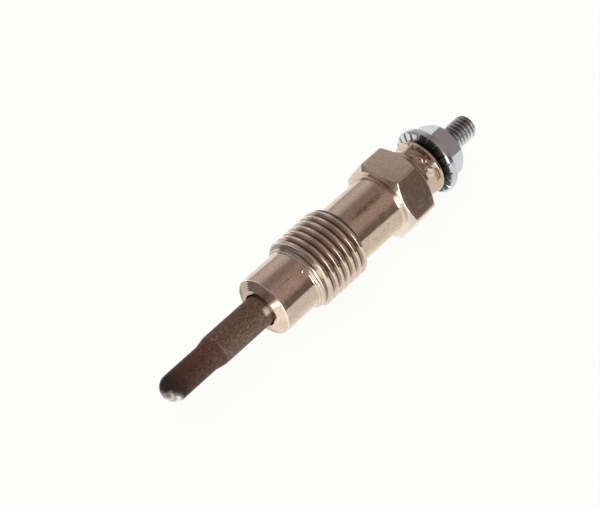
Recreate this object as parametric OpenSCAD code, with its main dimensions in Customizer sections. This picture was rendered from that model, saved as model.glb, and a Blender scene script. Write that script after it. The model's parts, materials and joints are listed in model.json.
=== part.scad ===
// Sheathed-element glow plug for a diesel engine.
// The axis is X, with the glowing tip at -X and the terminal stud at +X.
// The origin is on the axis, in the plane of the shell's front face.
// The plug lies on one flat of its hexagon and on the crests of its thread.

/* [Shell outside] */
// Diameter of the nose ahead of the thread
nose_dia = 9.8; // [9.2:0.1:10.2]
// Length of the nose from the front face to the thread's lead-in
nose_length = 7.2; // [5:0.1:12]
// Outer diameter of the flat ring at the front, where the seat cone starts
seat_face_dia = 7; // [6.4:0.1:8]
// Included angle of the seat cone
seat_angle = 120; // [100:1:130]
// Length of the cone that leads into the thread
lead_in_length = 1.5; // [1:0.1:2.5]
// Major diameter of the thread
thread_dia = 12; // [11.6:0.1:14]
// Length of the full thread
thread_length = 8.4; // [6:0.1:14]
// Pitch of the thread
thread_pitch = 1.25; // [1:0.05:1.5]
// Length of the bevel behind the thread
thread_bevel = 0.5; // [0.3:0.1:1]
// Diameter of the shank between thread and hexagon
shank_dia = 9.8; // [9.2:0.1:10.4]
// Length of the shank
shank_length = 9; // [6:0.1:40]
// Width of the hexagon across its flats
hex_af = 12; // [11.6:0.1:14]
// Length of the hexagon
hex_length = 5.8; // [4:0.1:8]
// Diameter of the chamfer circle on the hexagon's front face
hex_front_dia = 11.7; // [11:0.1:11.8]
// Diameter of the chamfer circle on the hexagon's rear face
hex_rear_dia = 11.2; // [10.6:0.1:11.8]
// Angle of the chamfers on both hexagons
hex_chamfer_angle = 36; // [20:1:40]
// Diameter of the step behind the hexagon
step_dia = 9.5; // [9.2:0.1:10]
// Length of that step
step_length = 1.2; // [0.8:0.1:2]
// Diameter of the crimped neck over its corners
neck_dia = 9.1; // [8.6:0.1:9.3]
// Length of the crimped neck
neck_length = 2.2; // [1.6:0.1:4]
// How far the flats of the crimp are pressed in
crimp_depth = 0.32; // [0.1:0.01:0.4]
// Turn of the crimp round the axis
crimp_turn = 46; // [0:1:60]

/* [Shell bores] */
// Diameter of the clearance bore at the front
mouth_dia = 5.5; // [5.3:0.05:6]
// Depth of the clearance bore
mouth_depth = 2; // [1:0.1:4]
// Length over which the shell grips the tube
grip_length = 19; // [12:0.1:22]
// Diameter of the bore behind the grip
chamber_dia = 6; // [5.7:0.1:6.2]
// Diameter of the rear bore for the ring and the bush
rear_bore_dia = 6.8; // [6.4:0.1:7.2]

/* [Glow tube] */
// Outer diameter of the tube
tube_dia = 5; // [4.6:0.05:5.2]
// Wall of the tube
tube_wall = 0.7; // [0.5:0.05:0.8]
// How far the tip stands out of the shell's front face
tube_reach = 20.2; // [18:0.1:30]
// Outer diameter of the swaged front part
tip_dia = 4.3; // [3.8:0.05:4.6]
// Wall of the swaged part
tip_wall = 0.7; // [0.5:0.05:0.8]
// Length of the swaged part with its round end
tip_length = 8.7; // [6:0.1:11]
// Length of the taper behind it
taper_length = 1.85; // [1:0.05:3]
// Thickness of the closed end
tip_end_wall = 1.1; // [0.8:0.05:1.6]
// How far the tube runs on behind the shell's grip
tube_tail = 1; // [0.5:0.1:2]

/* [Coils] */
// Mean diameter of both coils
coil_dia = 1.9; // [1.6:0.05:2]
// Diameter of the wire
wire_dia = 0.4; // [0.3:0.02:0.5]
// Pitch of the heating coil
heating_pitch = 0.8; // [0.7:0.05:1.2]
// Length of the heating coil
heating_length = 8.2; // [6:0.1:9]
// Pitch of the control coil
control_pitch = 1; // [0.7:0.05:1.4]
// Length of the control coil
control_length = 8.2; // [5:0.1:9]

/* [Terminal rod] */
// Diameter of the rod inside the tube
rod_dia = 2.8; // [2.5:0.05:3]
// Diameter of the rod in the ring, the bush and the nut, which is the thread's pitch diameter
blank_dia = 3.55; // [3.2:0.05:3.6]
// Major diameter of the stud's thread
stud_dia = 4; // [3.8:0.1:4.2]
// Length of the cone between the thin rod and the thicker blank
rod_cone_length = 0.8; // [0.4:0.1:1.6]
// Length of the stud beyond the nut
stud_free = 6; // [4:0.1:12]
// Chamfer at the end of the stud
stud_chamfer = 0.4; // [0.2:0.05:0.6]

/* [Seals and insulation] */
// Length of the plug that seals the tube
seal_length = 2.6; // [1.5:0.1:4]
// Thickness of the seal's lip behind the tube
seal_lip = 0.6; // [0.4:0.05:1]
// Length of the groove for the sealing ring
ring_length = 1.6; // [1.2:0.1:1.9]
// Thickness of the sealing ring before it is squeezed
ring_section = 1.95; // [1.85:0.05:2.1]
// Diameter of the bush's collar
collar_dia = 10; // [9.6:0.1:10.4]
// Thickness of the bush's collar
collar_thickness = 0.9; // [0.6:0.05:1.4]
// Edge rounding of the collar
collar_round = 0.2; // [0.1:0.05:0.25]
// Length of the bush's spigot in the rear bore
spigot_length = 3.8; // [2.5:0.1:5]

/* [Flange nut] */
// Width of the nut across its flats
nut_af = 8; // [7:0.1:8.6]
// Height of the nut's hexagon above the flange
nut_hex_height = 2.45; // [1.8:0.05:4]
// Diameter of the nut's flat bearing ring
nut_base_dia = 6.4; // [5.6:0.1:7]
// Diameter of the flange
flange_dia = 11.3; // [10.6:0.1:11.8]
// Height of the shallow serrated cone under the flange
serrated_height = 0.7; // [0.5:0.05:1]
// Bevel between that cone and the flange's rim
flange_bevel = 0.3; // [0.2:0.05:0.4]
// Thickness of the flange's rim
flange_rim = 0.75; // [0.5:0.05:1.2]
// Height of the slope from the rim to the hexagon
flange_slope = 1; // [0.6:0.05:1.6]
// Diameter at which that slope ends inside the hexagon
slope_top_dia = 7.6; // [6.4:0.1:7.8]
// Diameter of the chamfer circle on the nut's rear face
nut_chamfer_dia = 7.8; // [6.8:0.1:7.9]
// Number of serrations
serration_count = 20; // [12:1:28]
// Depth of a serration
serration_depth = 0.25; // [0.15:0.01:0.35]
// Turn of the nut round the axis
nut_turn = 31; // [0:1:60]
// Turn of the serrations against the nut's hexagon
serration_turn = -4; // [-9:1:9]

/* [Hidden] */
$fn = 96;

// Facets of the coils
wire_sides = 6;
coil_segments = 12;
bend_steps = 3;
// Bend of the wire between a coil and its straight ends, and those ends
bend_radius = 1.2 * wire_dia;
lead_length = 0.5 * wire_dia;
crimp_sides = 6;
// Depth of the thread, and its flats at root and crest, as shares of the pitch
thread_depth = 0.5413;
root_flat = 1 / 4;
crest_flat = 1 / 8;
// Overshoot of cutting tools
over = 1;
// How far the turned step starts inside the hexagon
chamfer_overlap = 1;

// Places along the axis, from the shell's front face
seat_end = (nose_dia - seat_face_dia) / 2 / tan(seat_angle / 2);
thread_start = nose_length + lead_in_length;
thread_end = thread_start + thread_length;
shank_start = thread_end + thread_bevel;
hex_start = shank_start + shank_length;
hex_end = hex_start + hex_length;
step_end = hex_end + step_length;
shell_end = step_end + neck_length;
collar_end = shell_end + collar_thickness;
spigot_start = shell_end - spigot_length;
ring_start = spigot_start - ring_length;
grip_end = mouth_depth + grip_length;
tube_end = grip_end + tube_tail;
nut_cone_end = collar_end + serrated_height;
nut_rim_start = nut_cone_end + flange_bevel;
nut_rim_end = nut_rim_start + flange_rim;
nut_slope_end = nut_rim_end + flange_slope;
nut_end = nut_rim_end + nut_hex_height + flange_slope;
stud_end = nut_end + stud_free;

// Places inside the tube
tip_apex = -tube_reach;
taper_start = tip_apex + tip_length;
taper_end = taper_start + taper_length;
coil_start = tip_apex + tip_end_wall;
coil_join = coil_start + heating_length;
rod_start = coil_join + control_length;
seal_start = tube_end - seal_length;
seal_end = tube_end + seal_lip;

// Radii that several pieces share
tube_r = tube_dia / 2;
tube_bore_r = tube_r - tube_wall;
tip_r = tip_dia / 2;
tip_bore_r = tip_r - tip_wall;
rod_r = rod_dia / 2;
blank_r = blank_dia / 2;
stud_r = stud_dia / 2;
rear_bore_r = rear_bore_dia / 2;
nut_base_r = nut_base_dia / 2;
flange_r = flange_dia / 2;
rod_cone_start = ring_start - rod_cone_length;

module along_x() rotate([0, 90, 0]) children();

// Half section from points given as [place along the axis, radius], and its solid of revolution
module section(points) polygon([for (p = points) [p[1], p[0]]]);
module turned(points) along_x() rotate_extrude() section(points);

// Section of the thread's grooves, the first of them in the lead-in cone
module thread_grooves() {
    crest_r = thread_dia / 2;
    root_r = crest_r - thread_depth * thread_pitch;
    root = thread_pitch * root_flat / 2;
    mouth = thread_pitch * (1 - crest_flat) / 2;
    for (i = [0 : floor(thread_length / thread_pitch)])
        translate([0, thread_start + (i - 0.5) * thread_pitch])
            polygon([[root_r, -root], [root_r, root], [crest_r, mouth], [crest_r + over, mouth],
                     [crest_r + over, -mouth], [crest_r, -mouth]]);
}

// Hexagon with one flat downwards, its corners cut by cones at the front and the rear
module chamfered_hexagon(af, start, end, front_dia, rear_dia, turn = 0) {
    corner = af / 2 / cos(30);
    outside = corner + over;
    slope = tan(hex_chamfer_angle);
    intersection() {
        along_x() rotate([0, 0, 30 + turn]) translate([0, 0, start])
            cylinder(r = corner, h = end - start, $fn = 6);
        turned([[start, 0], [start, front_dia / 2], [start + (outside - front_dia / 2) * slope, outside],
                [end - (outside - rear_dia / 2) * slope, outside], [end, rear_dia / 2], [end, 0]]);
    }
}

// Points of a coil laid out flat: [place along the axis, length round the coil, angle to the axis]
function coil_rise(pitch) = atan2(PI * coil_dia, pitch);
function coil_bend(rise, step) = let (a = rise * step / bend_steps)
    [lead_length + bend_radius * sin(a), bend_radius * (1 - cos(a)), a];
function coil_helix(rise, length) = length - 2 * coil_bend(rise, bend_steps)[0];
function coil_girth(rise, length) =
    2 * coil_bend(rise, bend_steps)[1] + coil_helix(rise, length) * tan(rise);
function coil_route(pitch, length) = let (
    rise = coil_rise(pitch),
    first = coil_bend(rise, bend_steps),
    helix = coil_helix(rise, length),
    girth = coil_girth(rise, length),
    count = ceil(coil_segments * helix / pitch)
) [
    [0, 0, 0],
    for (i = [0 : bend_steps]) coil_bend(rise, i),
    for (i = [1 : count - 1])
        [first[0] + helix * i / count, first[1] + helix * tan(rise) * i / count, rise],
    for (i = [bend_steps : -1 : 0]) let (b = coil_bend(rise, i)) [length - b[0], girth - b[1], b[2]],
    [length, girth, 0]
];

// Angle round the axis, in degrees, for a length round the coil
function coil_angle(girth) = girth / (coil_dia / 2) * 180 / PI;
heating_turn = coil_angle(coil_girth(coil_rise(heating_pitch), heating_length));

// One ring of wire, square to the wire
function wire_ring(spot, start, turn) = let (
    a = turn + coil_angle(spot[1]),
    out = [cos(a), sin(a), 0],
    round = [-sin(a), cos(a), 0],
    side = cos(spot[2]) * round - sin(spot[2]) * [0, 0, 1],
    middle = out * coil_dia / 2 + [0, 0, start + spot[0]]
) [for (k = [0 : wire_sides - 1])
    let (b = 360 * (k + 0.5) / wire_sides) middle + wire_dia / 2 * (cos(b) * out + sin(b) * side)];

module coil(pitch, length, start, turn) {
    route = coil_route(pitch, length);
    last = len(route) - 1;
    points = [for (spot = route) each wire_ring(spot, start, turn)];
    walls = [for (i = [0 : last - 1], k = [0 : wire_sides - 1]) let (
        a = i * wire_sides + k,
        b = i * wire_sides + (k + 1) % wire_sides
    ) each [[a, a + wire_sides, b], [b, a + wire_sides, b + wire_sides]]];
    front = [for (k = [0 : wire_sides - 1]) k];
    rear = [for (k = [wire_sides - 1 : -1 : 0]) last * wire_sides + k];
    along_x() polyhedron(points, concat([front], walls, [rear]));
}

module heating_wire() coil(heating_pitch, heating_length, coil_start, 0);
module control_wire() coil(control_pitch, control_length, coil_join, heating_turn);

module shell() color([0.64, 0.56, 0.51]) difference() {
    union() {
        along_x() rotate_extrude() difference() {
            section([[0, 0], [0, seat_face_dia / 2], [seat_end, nose_dia / 2],
                     [nose_length, nose_dia / 2], [thread_start, thread_dia / 2],
                     [thread_end, thread_dia / 2], [shank_start, shank_dia / 2],
                     [hex_end - chamfer_overlap, shank_dia / 2], [hex_end - chamfer_overlap, step_dia / 2],
                     [step_end, step_dia / 2], [step_end, 0]]);
            thread_grooves();
        }
        chamfered_hexagon(hex_af, hex_start, hex_end, hex_front_dia, hex_rear_dia);
        intersection() {
            turned([[hex_end, 0], [hex_end, neck_dia / 2], [shell_end, neck_dia / 2], [shell_end, 0]]);
            crimp();
        }
    }
    turned([[-over, 0], [-over, mouth_dia / 2], [mouth_depth, mouth_dia / 2], [mouth_depth, tube_r],
            [grip_end, tube_r], [grip_end, chamber_dia / 2], [ring_start, chamber_dia / 2],
            [ring_start, rear_bore_r], [shell_end + over, rear_bore_r], [shell_end + over, 0]]);
}

// Flats that the crimping tool leaves round the neck
module crimp()
    along_x() rotate([0, 0, crimp_turn]) translate([0, 0, hex_end])
        cylinder(r = (neck_dia / 2 - crimp_depth) / cos(180 / crimp_sides),
                 h = shell_end - hex_end, $fn = crimp_sides);

module tube_bore() {
    turned([[coil_start, 0], [coil_start, tip_bore_r], [taper_start, tip_bore_r],
            [taper_end, tube_bore_r], [tube_end + over, tube_bore_r], [tube_end + over, 0]]);
}

module glow_tube() color([0.3, 0.23, 0.19]) difference() {
    along_x() rotate_extrude() {
        intersection() {
            translate([0, tip_apex + tip_r]) circle(r = tip_r);
            translate([0, tip_apex]) square(tip_r);
        }
        polygon([[0, tip_apex + tip_r], [tip_r, tip_apex + tip_r], [tip_r, taper_start],
                 [tube_r, taper_end], [tube_r, tube_end], [0, tube_end]]);
    }
    tube_bore();
}

module heating_coil() color([0.55, 0.5, 0.45]) heating_wire();

module control_coil() color([0.7, 0.68, 0.64]) control_wire();

module insulating_powder() color([0.93, 0.92, 0.88]) difference() {
    intersection() {
        tube_bore();
        turned([[coil_start, 0], [coil_start, tube_r], [seal_start, tube_r], [seal_start, 0]]);
    }
    turned([[rod_start, 0], [rod_start, rod_r], [seal_start + over, rod_r], [seal_start + over, 0]]);
    heating_wire();
    control_wire();
}

module tube_seal() color([0.75, 0.3, 0.2])
    turned([[seal_start, rod_r], [seal_start, tube_bore_r], [tube_end, tube_bore_r], [tube_end, tube_r],
            [seal_end, tube_r], [seal_end, rod_r]]);

module terminal_rod() color([0.5, 0.5, 0.5])
    turned([[rod_start, 0], [rod_start, rod_r], [rod_cone_start, rod_r], [ring_start, blank_r],
            [nut_end, blank_r], [nut_end, stud_r], [stud_end - stud_chamfer, stud_r],
            [stud_end, stud_r - stud_chamfer], [stud_end, 0]]);

module sealing_ring() color([0.12, 0.12, 0.12]) {
    gap = rear_bore_r - blank_r;
    along_x() rotate_extrude() translate([blank_r + gap / 2, ring_start + ring_length / 2]) intersection() {
        square([gap, ring_length], center = true);
        circle(d = ring_section);
    }
}

module insulating_bush() color([0.5, 0.4, 0.35])
    turned([[spigot_start, blank_r], [spigot_start, rear_bore_r], [shell_end, rear_bore_r],
            [shell_end, collar_dia / 2 - collar_round], [shell_end + collar_round, collar_dia / 2],
            [collar_end - collar_round, collar_dia / 2], [collar_end, collar_dia / 2 - collar_round],
            [collar_end, blank_r]]);

// V-grooves that run outwards over the cone under the flange
module serrations() {
    run = flange_r - flange_bevel - nut_base_r;
    lean = atan2(run, serrated_height);
    side = 3 * serration_depth;
    along_x() for (i = [0 : serration_count - 1])
        rotate([0, 0, nut_turn + serration_turn + 360 * i / serration_count])
            translate([nut_base_r, 0, collar_end]) rotate([0, lean, 0])
                translate([-serration_depth, 0, -over]) rotate([0, 0, 45])
                    cube([side, side, norm([run, serrated_height]) + 2 * over]);
}

module flange_nut() color([0.72, 0.73, 0.75]) difference() {
    union() {
        turned([[collar_end, 0], [collar_end, nut_base_r], [nut_cone_end, flange_r - flange_bevel],
                [nut_rim_start, flange_r], [nut_rim_end, flange_r], [nut_slope_end, slope_top_dia / 2],
                [nut_slope_end, 0]]);
        chamfered_hexagon(nut_af, nut_rim_start, nut_end, nut_chamfer_dia, nut_chamfer_dia, nut_turn);
    }
    turned([[collar_end - over, 0], [collar_end - over, blank_r],
            [nut_end + over, blank_r], [nut_end + over, 0]]);
    serrations();
}

shell();
glow_tube();
heating_coil();
control_coil();
insulating_powder();
tube_seal();
terminal_rod();
sealing_ring();
insulating_bush();
flange_nut();
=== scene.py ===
import json
import math
import bmesh
import bpy
from mathutils import Matrix, Vector


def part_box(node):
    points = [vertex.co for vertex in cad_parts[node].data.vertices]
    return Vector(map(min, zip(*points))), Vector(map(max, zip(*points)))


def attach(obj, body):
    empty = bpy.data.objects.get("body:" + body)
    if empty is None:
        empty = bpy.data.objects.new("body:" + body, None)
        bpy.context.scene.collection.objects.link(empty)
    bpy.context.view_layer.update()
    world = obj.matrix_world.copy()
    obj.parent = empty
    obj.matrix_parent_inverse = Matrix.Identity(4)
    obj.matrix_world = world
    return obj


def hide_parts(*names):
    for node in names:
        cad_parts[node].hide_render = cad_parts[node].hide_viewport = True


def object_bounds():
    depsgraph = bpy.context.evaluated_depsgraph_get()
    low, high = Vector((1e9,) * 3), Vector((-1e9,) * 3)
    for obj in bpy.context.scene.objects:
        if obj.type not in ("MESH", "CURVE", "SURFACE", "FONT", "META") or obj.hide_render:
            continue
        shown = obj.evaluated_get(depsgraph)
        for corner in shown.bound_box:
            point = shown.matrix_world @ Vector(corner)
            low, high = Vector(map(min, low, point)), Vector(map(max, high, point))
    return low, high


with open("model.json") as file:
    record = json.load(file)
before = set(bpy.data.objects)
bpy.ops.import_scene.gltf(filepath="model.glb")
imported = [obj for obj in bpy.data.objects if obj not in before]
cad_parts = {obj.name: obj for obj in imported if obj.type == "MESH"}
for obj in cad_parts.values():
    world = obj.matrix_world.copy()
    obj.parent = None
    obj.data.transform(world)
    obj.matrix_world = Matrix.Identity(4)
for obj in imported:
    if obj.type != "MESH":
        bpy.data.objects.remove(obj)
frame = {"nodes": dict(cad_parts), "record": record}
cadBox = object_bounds()
mm = 0.001
mounts = {m["name"]: m for m in frame["record"]["mounts"]}
print("frame loaded:", len(frame["nodes"]), "solids")


def ends(node):
    # first and last place of a solid along the plug's axis, in mm
    low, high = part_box(node)
    return low.x / mm, high.x / mm


def reach(node):
    # largest half width of a solid, in mm
    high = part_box(node)[1]
    return max(high.y, high.z) / mm


def newObject(name, data):
    made = bpy.data.objects.new(name, data)
    bpy.context.scene.collection.objects.link(made)
    return made


# Small node helpers: they work in the tree of the sockets that they are given

def addNode(tree, kind, **settings):
    node = tree.nodes.new(kind)
    for key, value in settings.items():
        setattr(node, key, value)
    return node


def isSocket(value):
    return isinstance(value, bpy.types.NodeSocket)


def feed(socket, value):
    # links a socket, or sets it to a plain value
    if isSocket(value):
        socket.id_data.links.new(value, socket)
    else:
        socket.default_value = value


def calc(operation, *values, clamp=False):
    tree = next(value.id_data for value in values if isSocket(value))
    node = addNode(tree, "ShaderNodeMath", operation=operation, use_clamp=clamp)
    for socket, value in zip(node.inputs, values):
        feed(socket, value)
    return node.outputs[0]


def times(first, *others):
    for value in others:
        first = calc("MULTIPLY", first, value)
    return first


def plus(first, second):
    return calc("ADD", first, second)


def minus(first, second):
    return calc("SUBTRACT", first, second)


def timesPlus(value, factor, rest):
    return calc("MULTIPLY_ADD", value, factor, rest)


def apart(first, second):
    # how far two values lie from each other
    return calc("ABSOLUTE", minus(first, second))


def between(value, low, high, newLow=0.0, newHigh=1.0, ease="LINEAR", clamp=True):
    node = addNode(value.id_data, "ShaderNodeMapRange", interpolation_type=ease, clamp=clamp)
    for socket, given in zip(node.inputs[:5], (value, low, high, newLow, newHigh)):
        feed(socket, given)
    return node.outputs[0]


def smooth(value, low, high, newLow=0.0, newHigh=1.0):
    return between(value, low, high, newLow, newHigh, "SMOOTHSTEP")


def blendColours(share, first, second):
    node = addNode(share.id_data, "ShaderNodeMix", data_type="RGBA")
    feed(node.inputs[0], share)
    for socket, colour in ((node.inputs[6], first), (node.inputs[7], second)):
        feed(socket, colour if isSocket(colour) else (*colour, 1))
    return node.outputs[2]


def layOver(tint, layers):
    # lays colours over a tint one by one, each with its own mask
    for mask, colour in layers:
        tint = blendColours(mask, tint, colour)
    return tint


def noiseOf(vector, scale, detail, rough):
    node = addNode(vector.id_data, "ShaderNodeTexNoise")
    for label, value in (("Vector", vector), ("Scale", scale), ("Detail", detail), ("Roughness", rough)):
        feed(node.inputs[label], value)
    return node.outputs[0]


def spread(vector):
    node = addNode(vector.id_data, "ShaderNodeSeparateXYZ")
    feed(node.inputs[0], vector)
    return node.outputs[0], node.outputs[1], node.outputs[2]


def scaled(vector, factor):
    node = addNode(vector.id_data, "ShaderNodeVectorMath", operation="SCALE")
    feed(node.inputs[0], vector)
    feed(node.inputs["Scale"], factor)
    return node.outputs[0]


def millimetres(tree):
    # object coordinates in mm
    return scaled(addNode(tree, "ShaderNodeTexCoord").outputs["Object"], 1 / mm)


def fromAxis(y, z):
    # distance from the plug's axis
    return calc("SQRT", plus(times(y, y), times(z, z)))


def emptyTree(owner):
    owner.use_nodes = True
    owner.node_tree.nodes.clear()
    return owner.node_tree


# Camera: the plug's axis leans towards the lens, and the picture is turned a little

photoView = {
    "axisLean": 28.3,  # degrees between the axis and the picture plane
    "aroundAxis": 56.0,  # degrees above the table, seen along the axis
    "axisOnPicture": 41.80864,  # degrees between the axis and the picture's lower edge
    "distance": 345.0,  # mm from the lens to the target
    "pixelsPerMm": 6.76,  # at the target
    "target": 15.52,  # mm along the axis
    "targetPixel": (330.34, 247.4),
    "picture": (600.0, 509.0),
    "sensor": 36.0,
    "clip": (0.01, 50.0),  # m
}


def placeCamera(setup):
    lean, around = math.radians(setup["axisLean"]), math.radians(setup["aroundAxis"])
    towards = Vector((-math.sin(lean), -math.cos(lean) * math.cos(around), math.cos(lean) * math.sin(around)))
    along = (Vector((1, 0, 0)) - towards.x * towards).normalized()
    across = along.cross(towards)
    turn = math.radians(setup["axisOnPicture"])
    right = math.cos(turn) * along + math.sin(turn) * across
    up = math.sin(turn) * along - math.cos(turn) * across
    focal = setup["pixelsPerMm"] * setup["distance"]
    offX = (setup["targetPixel"][0] - setup["picture"][0] / 2) / focal
    offY = (setup["targetPixel"][1] - setup["picture"][1] / 2) / focal
    back = (towards + right * offX - up * offY).normalized()
    right = up.cross(back).normalized()
    up = back.cross(right)
    camera = newObject("photoCamera", bpy.data.cameras.new("photoCamera"))
    camera.data.sensor_width = setup["sensor"]
    camera.data.lens = focal * setup["sensor"] / setup["picture"][0]
    camera.data.clip_start, camera.data.clip_end = setup["clip"]
    place = Vector((setup["target"], 0, 0)) * mm + towards * setup["distance"] * mm
    camera.matrix_world = Matrix.Translation(place) @ Matrix((right, up, back)).transposed().to_4x4()
    bpy.context.scene.camera = camera


placeCamera(photoView)
bpy.context.scene.view_settings.view_transform = "Standard"
print("camera placed")


# Effects that several finishes share

def newEffect(name, label, value, *outputs):
    # a group with one value to set, which puts out masks or heights
    group = bpy.data.node_groups.new(name, "ShaderNodeTree")
    socket = group.interface.new_socket(label, in_out="INPUT", socket_type="NodeSocketFloat")
    socket.default_value = value
    for output in outputs:
        group.interface.new_socket(output, in_out="OUTPUT", socket_type="NodeSocketFloat")
    return group, addNode(group, "NodeGroupInput").outputs[0], addNode(group, "NodeGroupOutput").inputs


def makeTurningLines():
    # fine rings left by the lathe, broken up a little round the axis
    group, linesPerMm, out = newEffect("turningLines", "Lines Per mm", 8.0, "Height")
    joined = addNode(group, "ShaderNodeCombineXYZ")
    stretch = (linesPerMm, 0.12, 0.12)
    for socket, value, factor in zip(joined.inputs, spread(millimetres(group)), stretch):
        feed(socket, times(value, factor))
    feed(out["Height"], noiseOf(joined.outputs[0], 1.0, 2.0, 0.6))
    return group


def makeDrawLines():
    # streaks along the axis from drawing and swaging
    group, fineness, out = newEffect("drawLines", "Fineness", 6.0, "Height", "Mask")
    drawn = addNode(group, "ShaderNodeVectorMath", operation="MULTIPLY")
    feed(drawn.inputs[0], millimetres(group))
    feed(drawn.inputs[1], (0.22, 1.0, 1.0))
    fine = noiseOf(scaled(drawn.outputs[0], fineness), 1.0, 3.0, 0.6)
    feed(out["Height"], fine)
    feed(out["Mask"], between(fine, 0.4, 0.68))
    return group


def makeMottle():
    # cloudy unevenness of a plated or oxidised surface
    group, patchSize, out = newEffect("mottle", "Patch Size mm", 1.0, "Cloud", "Speck")
    point = scaled(millimetres(group), calc("DIVIDE", 1.0, patchSize))
    feed(out["Cloud"], noiseOf(point, 1.0, 4.0, 0.6))
    feed(out["Speck"], between(noiseOf(point, 7.0, 2.0, 0.6), 0.62, 0.74))
    return group


def makeScuffs():
    # thin crossing scratches from handling
    group, amount, out = newEffect("scuffs", "Amount", 0.5, "Mask")
    point = millimetres(group)
    masks = []
    for turn, squeeze in ((0.5, 14.0), (-0.9, 18.0)):
        turned = addNode(group, "ShaderNodeMapping")
        feed(turned.inputs["Vector"], point)
        turned.inputs["Rotation"].default_value = (turn, turn * 0.7, turn * 1.3)
        turned.inputs["Scale"].default_value = (0.35, squeeze * 0.35, 0.8)
        masks.append(between(noiseOf(turned.outputs[0], 1.0, 2.0, 0.5), 0.66, 0.72))
    feed(out["Mask"], times(calc("MAXIMUM", *masks), amount))
    return group


effects = {
    "turningLines": makeTurningLines(),
    "drawLines": makeDrawLines(),
    "mottle": makeMottle(),
    "scuffs": makeScuffs(),
}
print("effects made:", len(effects))


def useEffect(tree, name, value):
    node = addNode(tree, "ShaderNodeGroup")
    node.node_tree = effects[name]
    node.inputs[0].default_value = value
    return node.outputs


def newFinish(name, metallic, roughness, colour, **plain):
    material = bpy.data.materials.new(name)
    tree = emptyTree(material)
    shader = addNode(tree, "ShaderNodeBsdfPrincipled")
    feed(addNode(tree, "ShaderNodeOutputMaterial").inputs[0], shader.outputs[0])
    shader.inputs["Metallic"].default_value = metallic
    shader.inputs["Roughness"].default_value = roughness
    shader.inputs["Base Color"].default_value = (*colour, 1)
    material.diffuse_color = (*colour, 1)
    for label, value in plain.items():
        shader.inputs[label.replace("_", " ")].default_value = value
    return material, tree, shader


def bumpFrom(shader, height, depth):
    # depth in mm
    node = addNode(shader.id_data, "ShaderNodeBump")
    node.inputs["Strength"].default_value = 1.0
    node.inputs["Distance"].default_value = depth * mm
    feed(node.inputs["Height"], height)
    feed(shader.inputs["Normal"], node.outputs[0])


# Turned, threaded and hexagonal meshes

def roundProfile(points, parts=4):
    # points are (place, radius, edge round) in mm
    path = []
    for i, (x, r, edge) in enumerate(points):
        if edge <= 0 or i in (0, len(points) - 1):
            path.append((x, r))
            continue
        corner = Vector((x, r))
        before = Vector(points[i - 1][:2]) - corner
        after = Vector(points[i + 1][:2]) - corner
        half = before.angle(after) / 2
        cut = min(edge / math.tan(half), 0.49 * before.length, 0.49 * after.length)
        edge = cut * math.tan(half)
        middle = corner + (before.normalized() + after.normalized()).normalized() * edge / math.sin(half)
        first = corner + before.normalized() * cut - middle
        sweep = math.pi - 2 * half
        side = 1 if before.x * after.y - before.y * after.x < 0 else -1
        for k in range(parts + 1):
            turn = side * sweep * k / parts
            path.append((middle.x + first.x * math.cos(turn) - first.y * math.sin(turn),
                         middle.y + first.x * math.sin(turn) + first.y * math.cos(turn)))
    return path


def evenAngles(count):
    return [2 * math.pi * i / count for i in range(count)]


def addRing(bm, angles, spots):
    # one point for each angle, at its (place along the axis, radius) in mm
    return [bm.verts.new((x * mm, r * math.cos(a) * mm, r * math.sin(a) * mm))
            for a, (x, r) in zip(angles, spots)]


def skin(bm, first, second):
    count = len(first)
    for i in range(count):
        j = (i + 1) % count
        bm.faces.new((first[i], first[j], second[j], second[i]))


def addTurned(bm, path, angles):
    # skins a turned path and returns its first and last rings
    rings = []
    for x, r in path:
        if r < 1e-6:  # a pole on the axis
            rings.append([bm.verts.new((x * mm, 0, 0))])
        else:
            rings.append(addRing(bm, angles, [(x, r)] * len(angles)))
    for first, second in zip(rings, rings[1:]):
        if len(first) == 1 or len(second) == 1:
            pole, ring = (first[0], second) if len(first) == 1 else (second[0], first)
            for i in range(len(ring)):
                bm.faces.new((pole, ring[i], ring[(i + 1) % len(ring)]))
        else:
            skin(bm, first, second)
    return rings[0], rings[-1]


def addFaceted(bm, angles, pathAt):
    # like addTurned, with a path of its own for each angle
    rings = [addRing(bm, angles, spots) for spots in zip(*[pathAt(a) for a in angles])]
    for first, second in zip(rings, rings[1:]):
        skin(bm, first, second)
    return rings[0], rings[-1]


def zipRings(bm, first, second):
    # flat ring of triangles between two rings with different steps
    def angleOf(v):
        return math.atan2(v.co.z, v.co.y) % (2 * math.pi)

    def angleAt(ring, i):
        return angleOf(ring[i % len(ring)]) + 2 * math.pi * (i // len(ring))

    first = sorted(first, key=angleOf)
    second = sorted(second, key=angleOf)
    i = j = 0
    while i < len(first) or j < len(second):
        a, b = first[i % len(first)], second[j % len(second)]
        firstIsNext = i < len(first) and angleAt(first, i + 1) <= angleAt(second, j + 1)
        if j >= len(second) or firstIsNext:
            i += 1
            c = first[i % len(first)]
        else:
            j += 1
            c = second[j % len(second)]
        bm.faces.new((a, b, c))


def flatReach(half, edge):
    # half the angle that a flat takes up between its rounded edges
    return math.atan((half - edge) * math.tan(math.pi / 6) / half)


def hexRadius(angle, acrossFlats, flatAt, edge):
    # distance from the axis to a hexagon with rounded edges
    off = (angle - flatAt + math.pi / 6) % (math.pi / 3) - math.pi / 6
    half = acrossFlats / 2
    if abs(off) <= flatReach(half, edge):
        return half / math.cos(off)
    middle = (half - edge) / math.cos(math.pi / 6)
    rest = math.pi / 6 - abs(off)
    return middle * math.cos(rest) + math.sqrt(max(edge ** 2 - (middle * math.sin(rest)) ** 2, 0))


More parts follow.
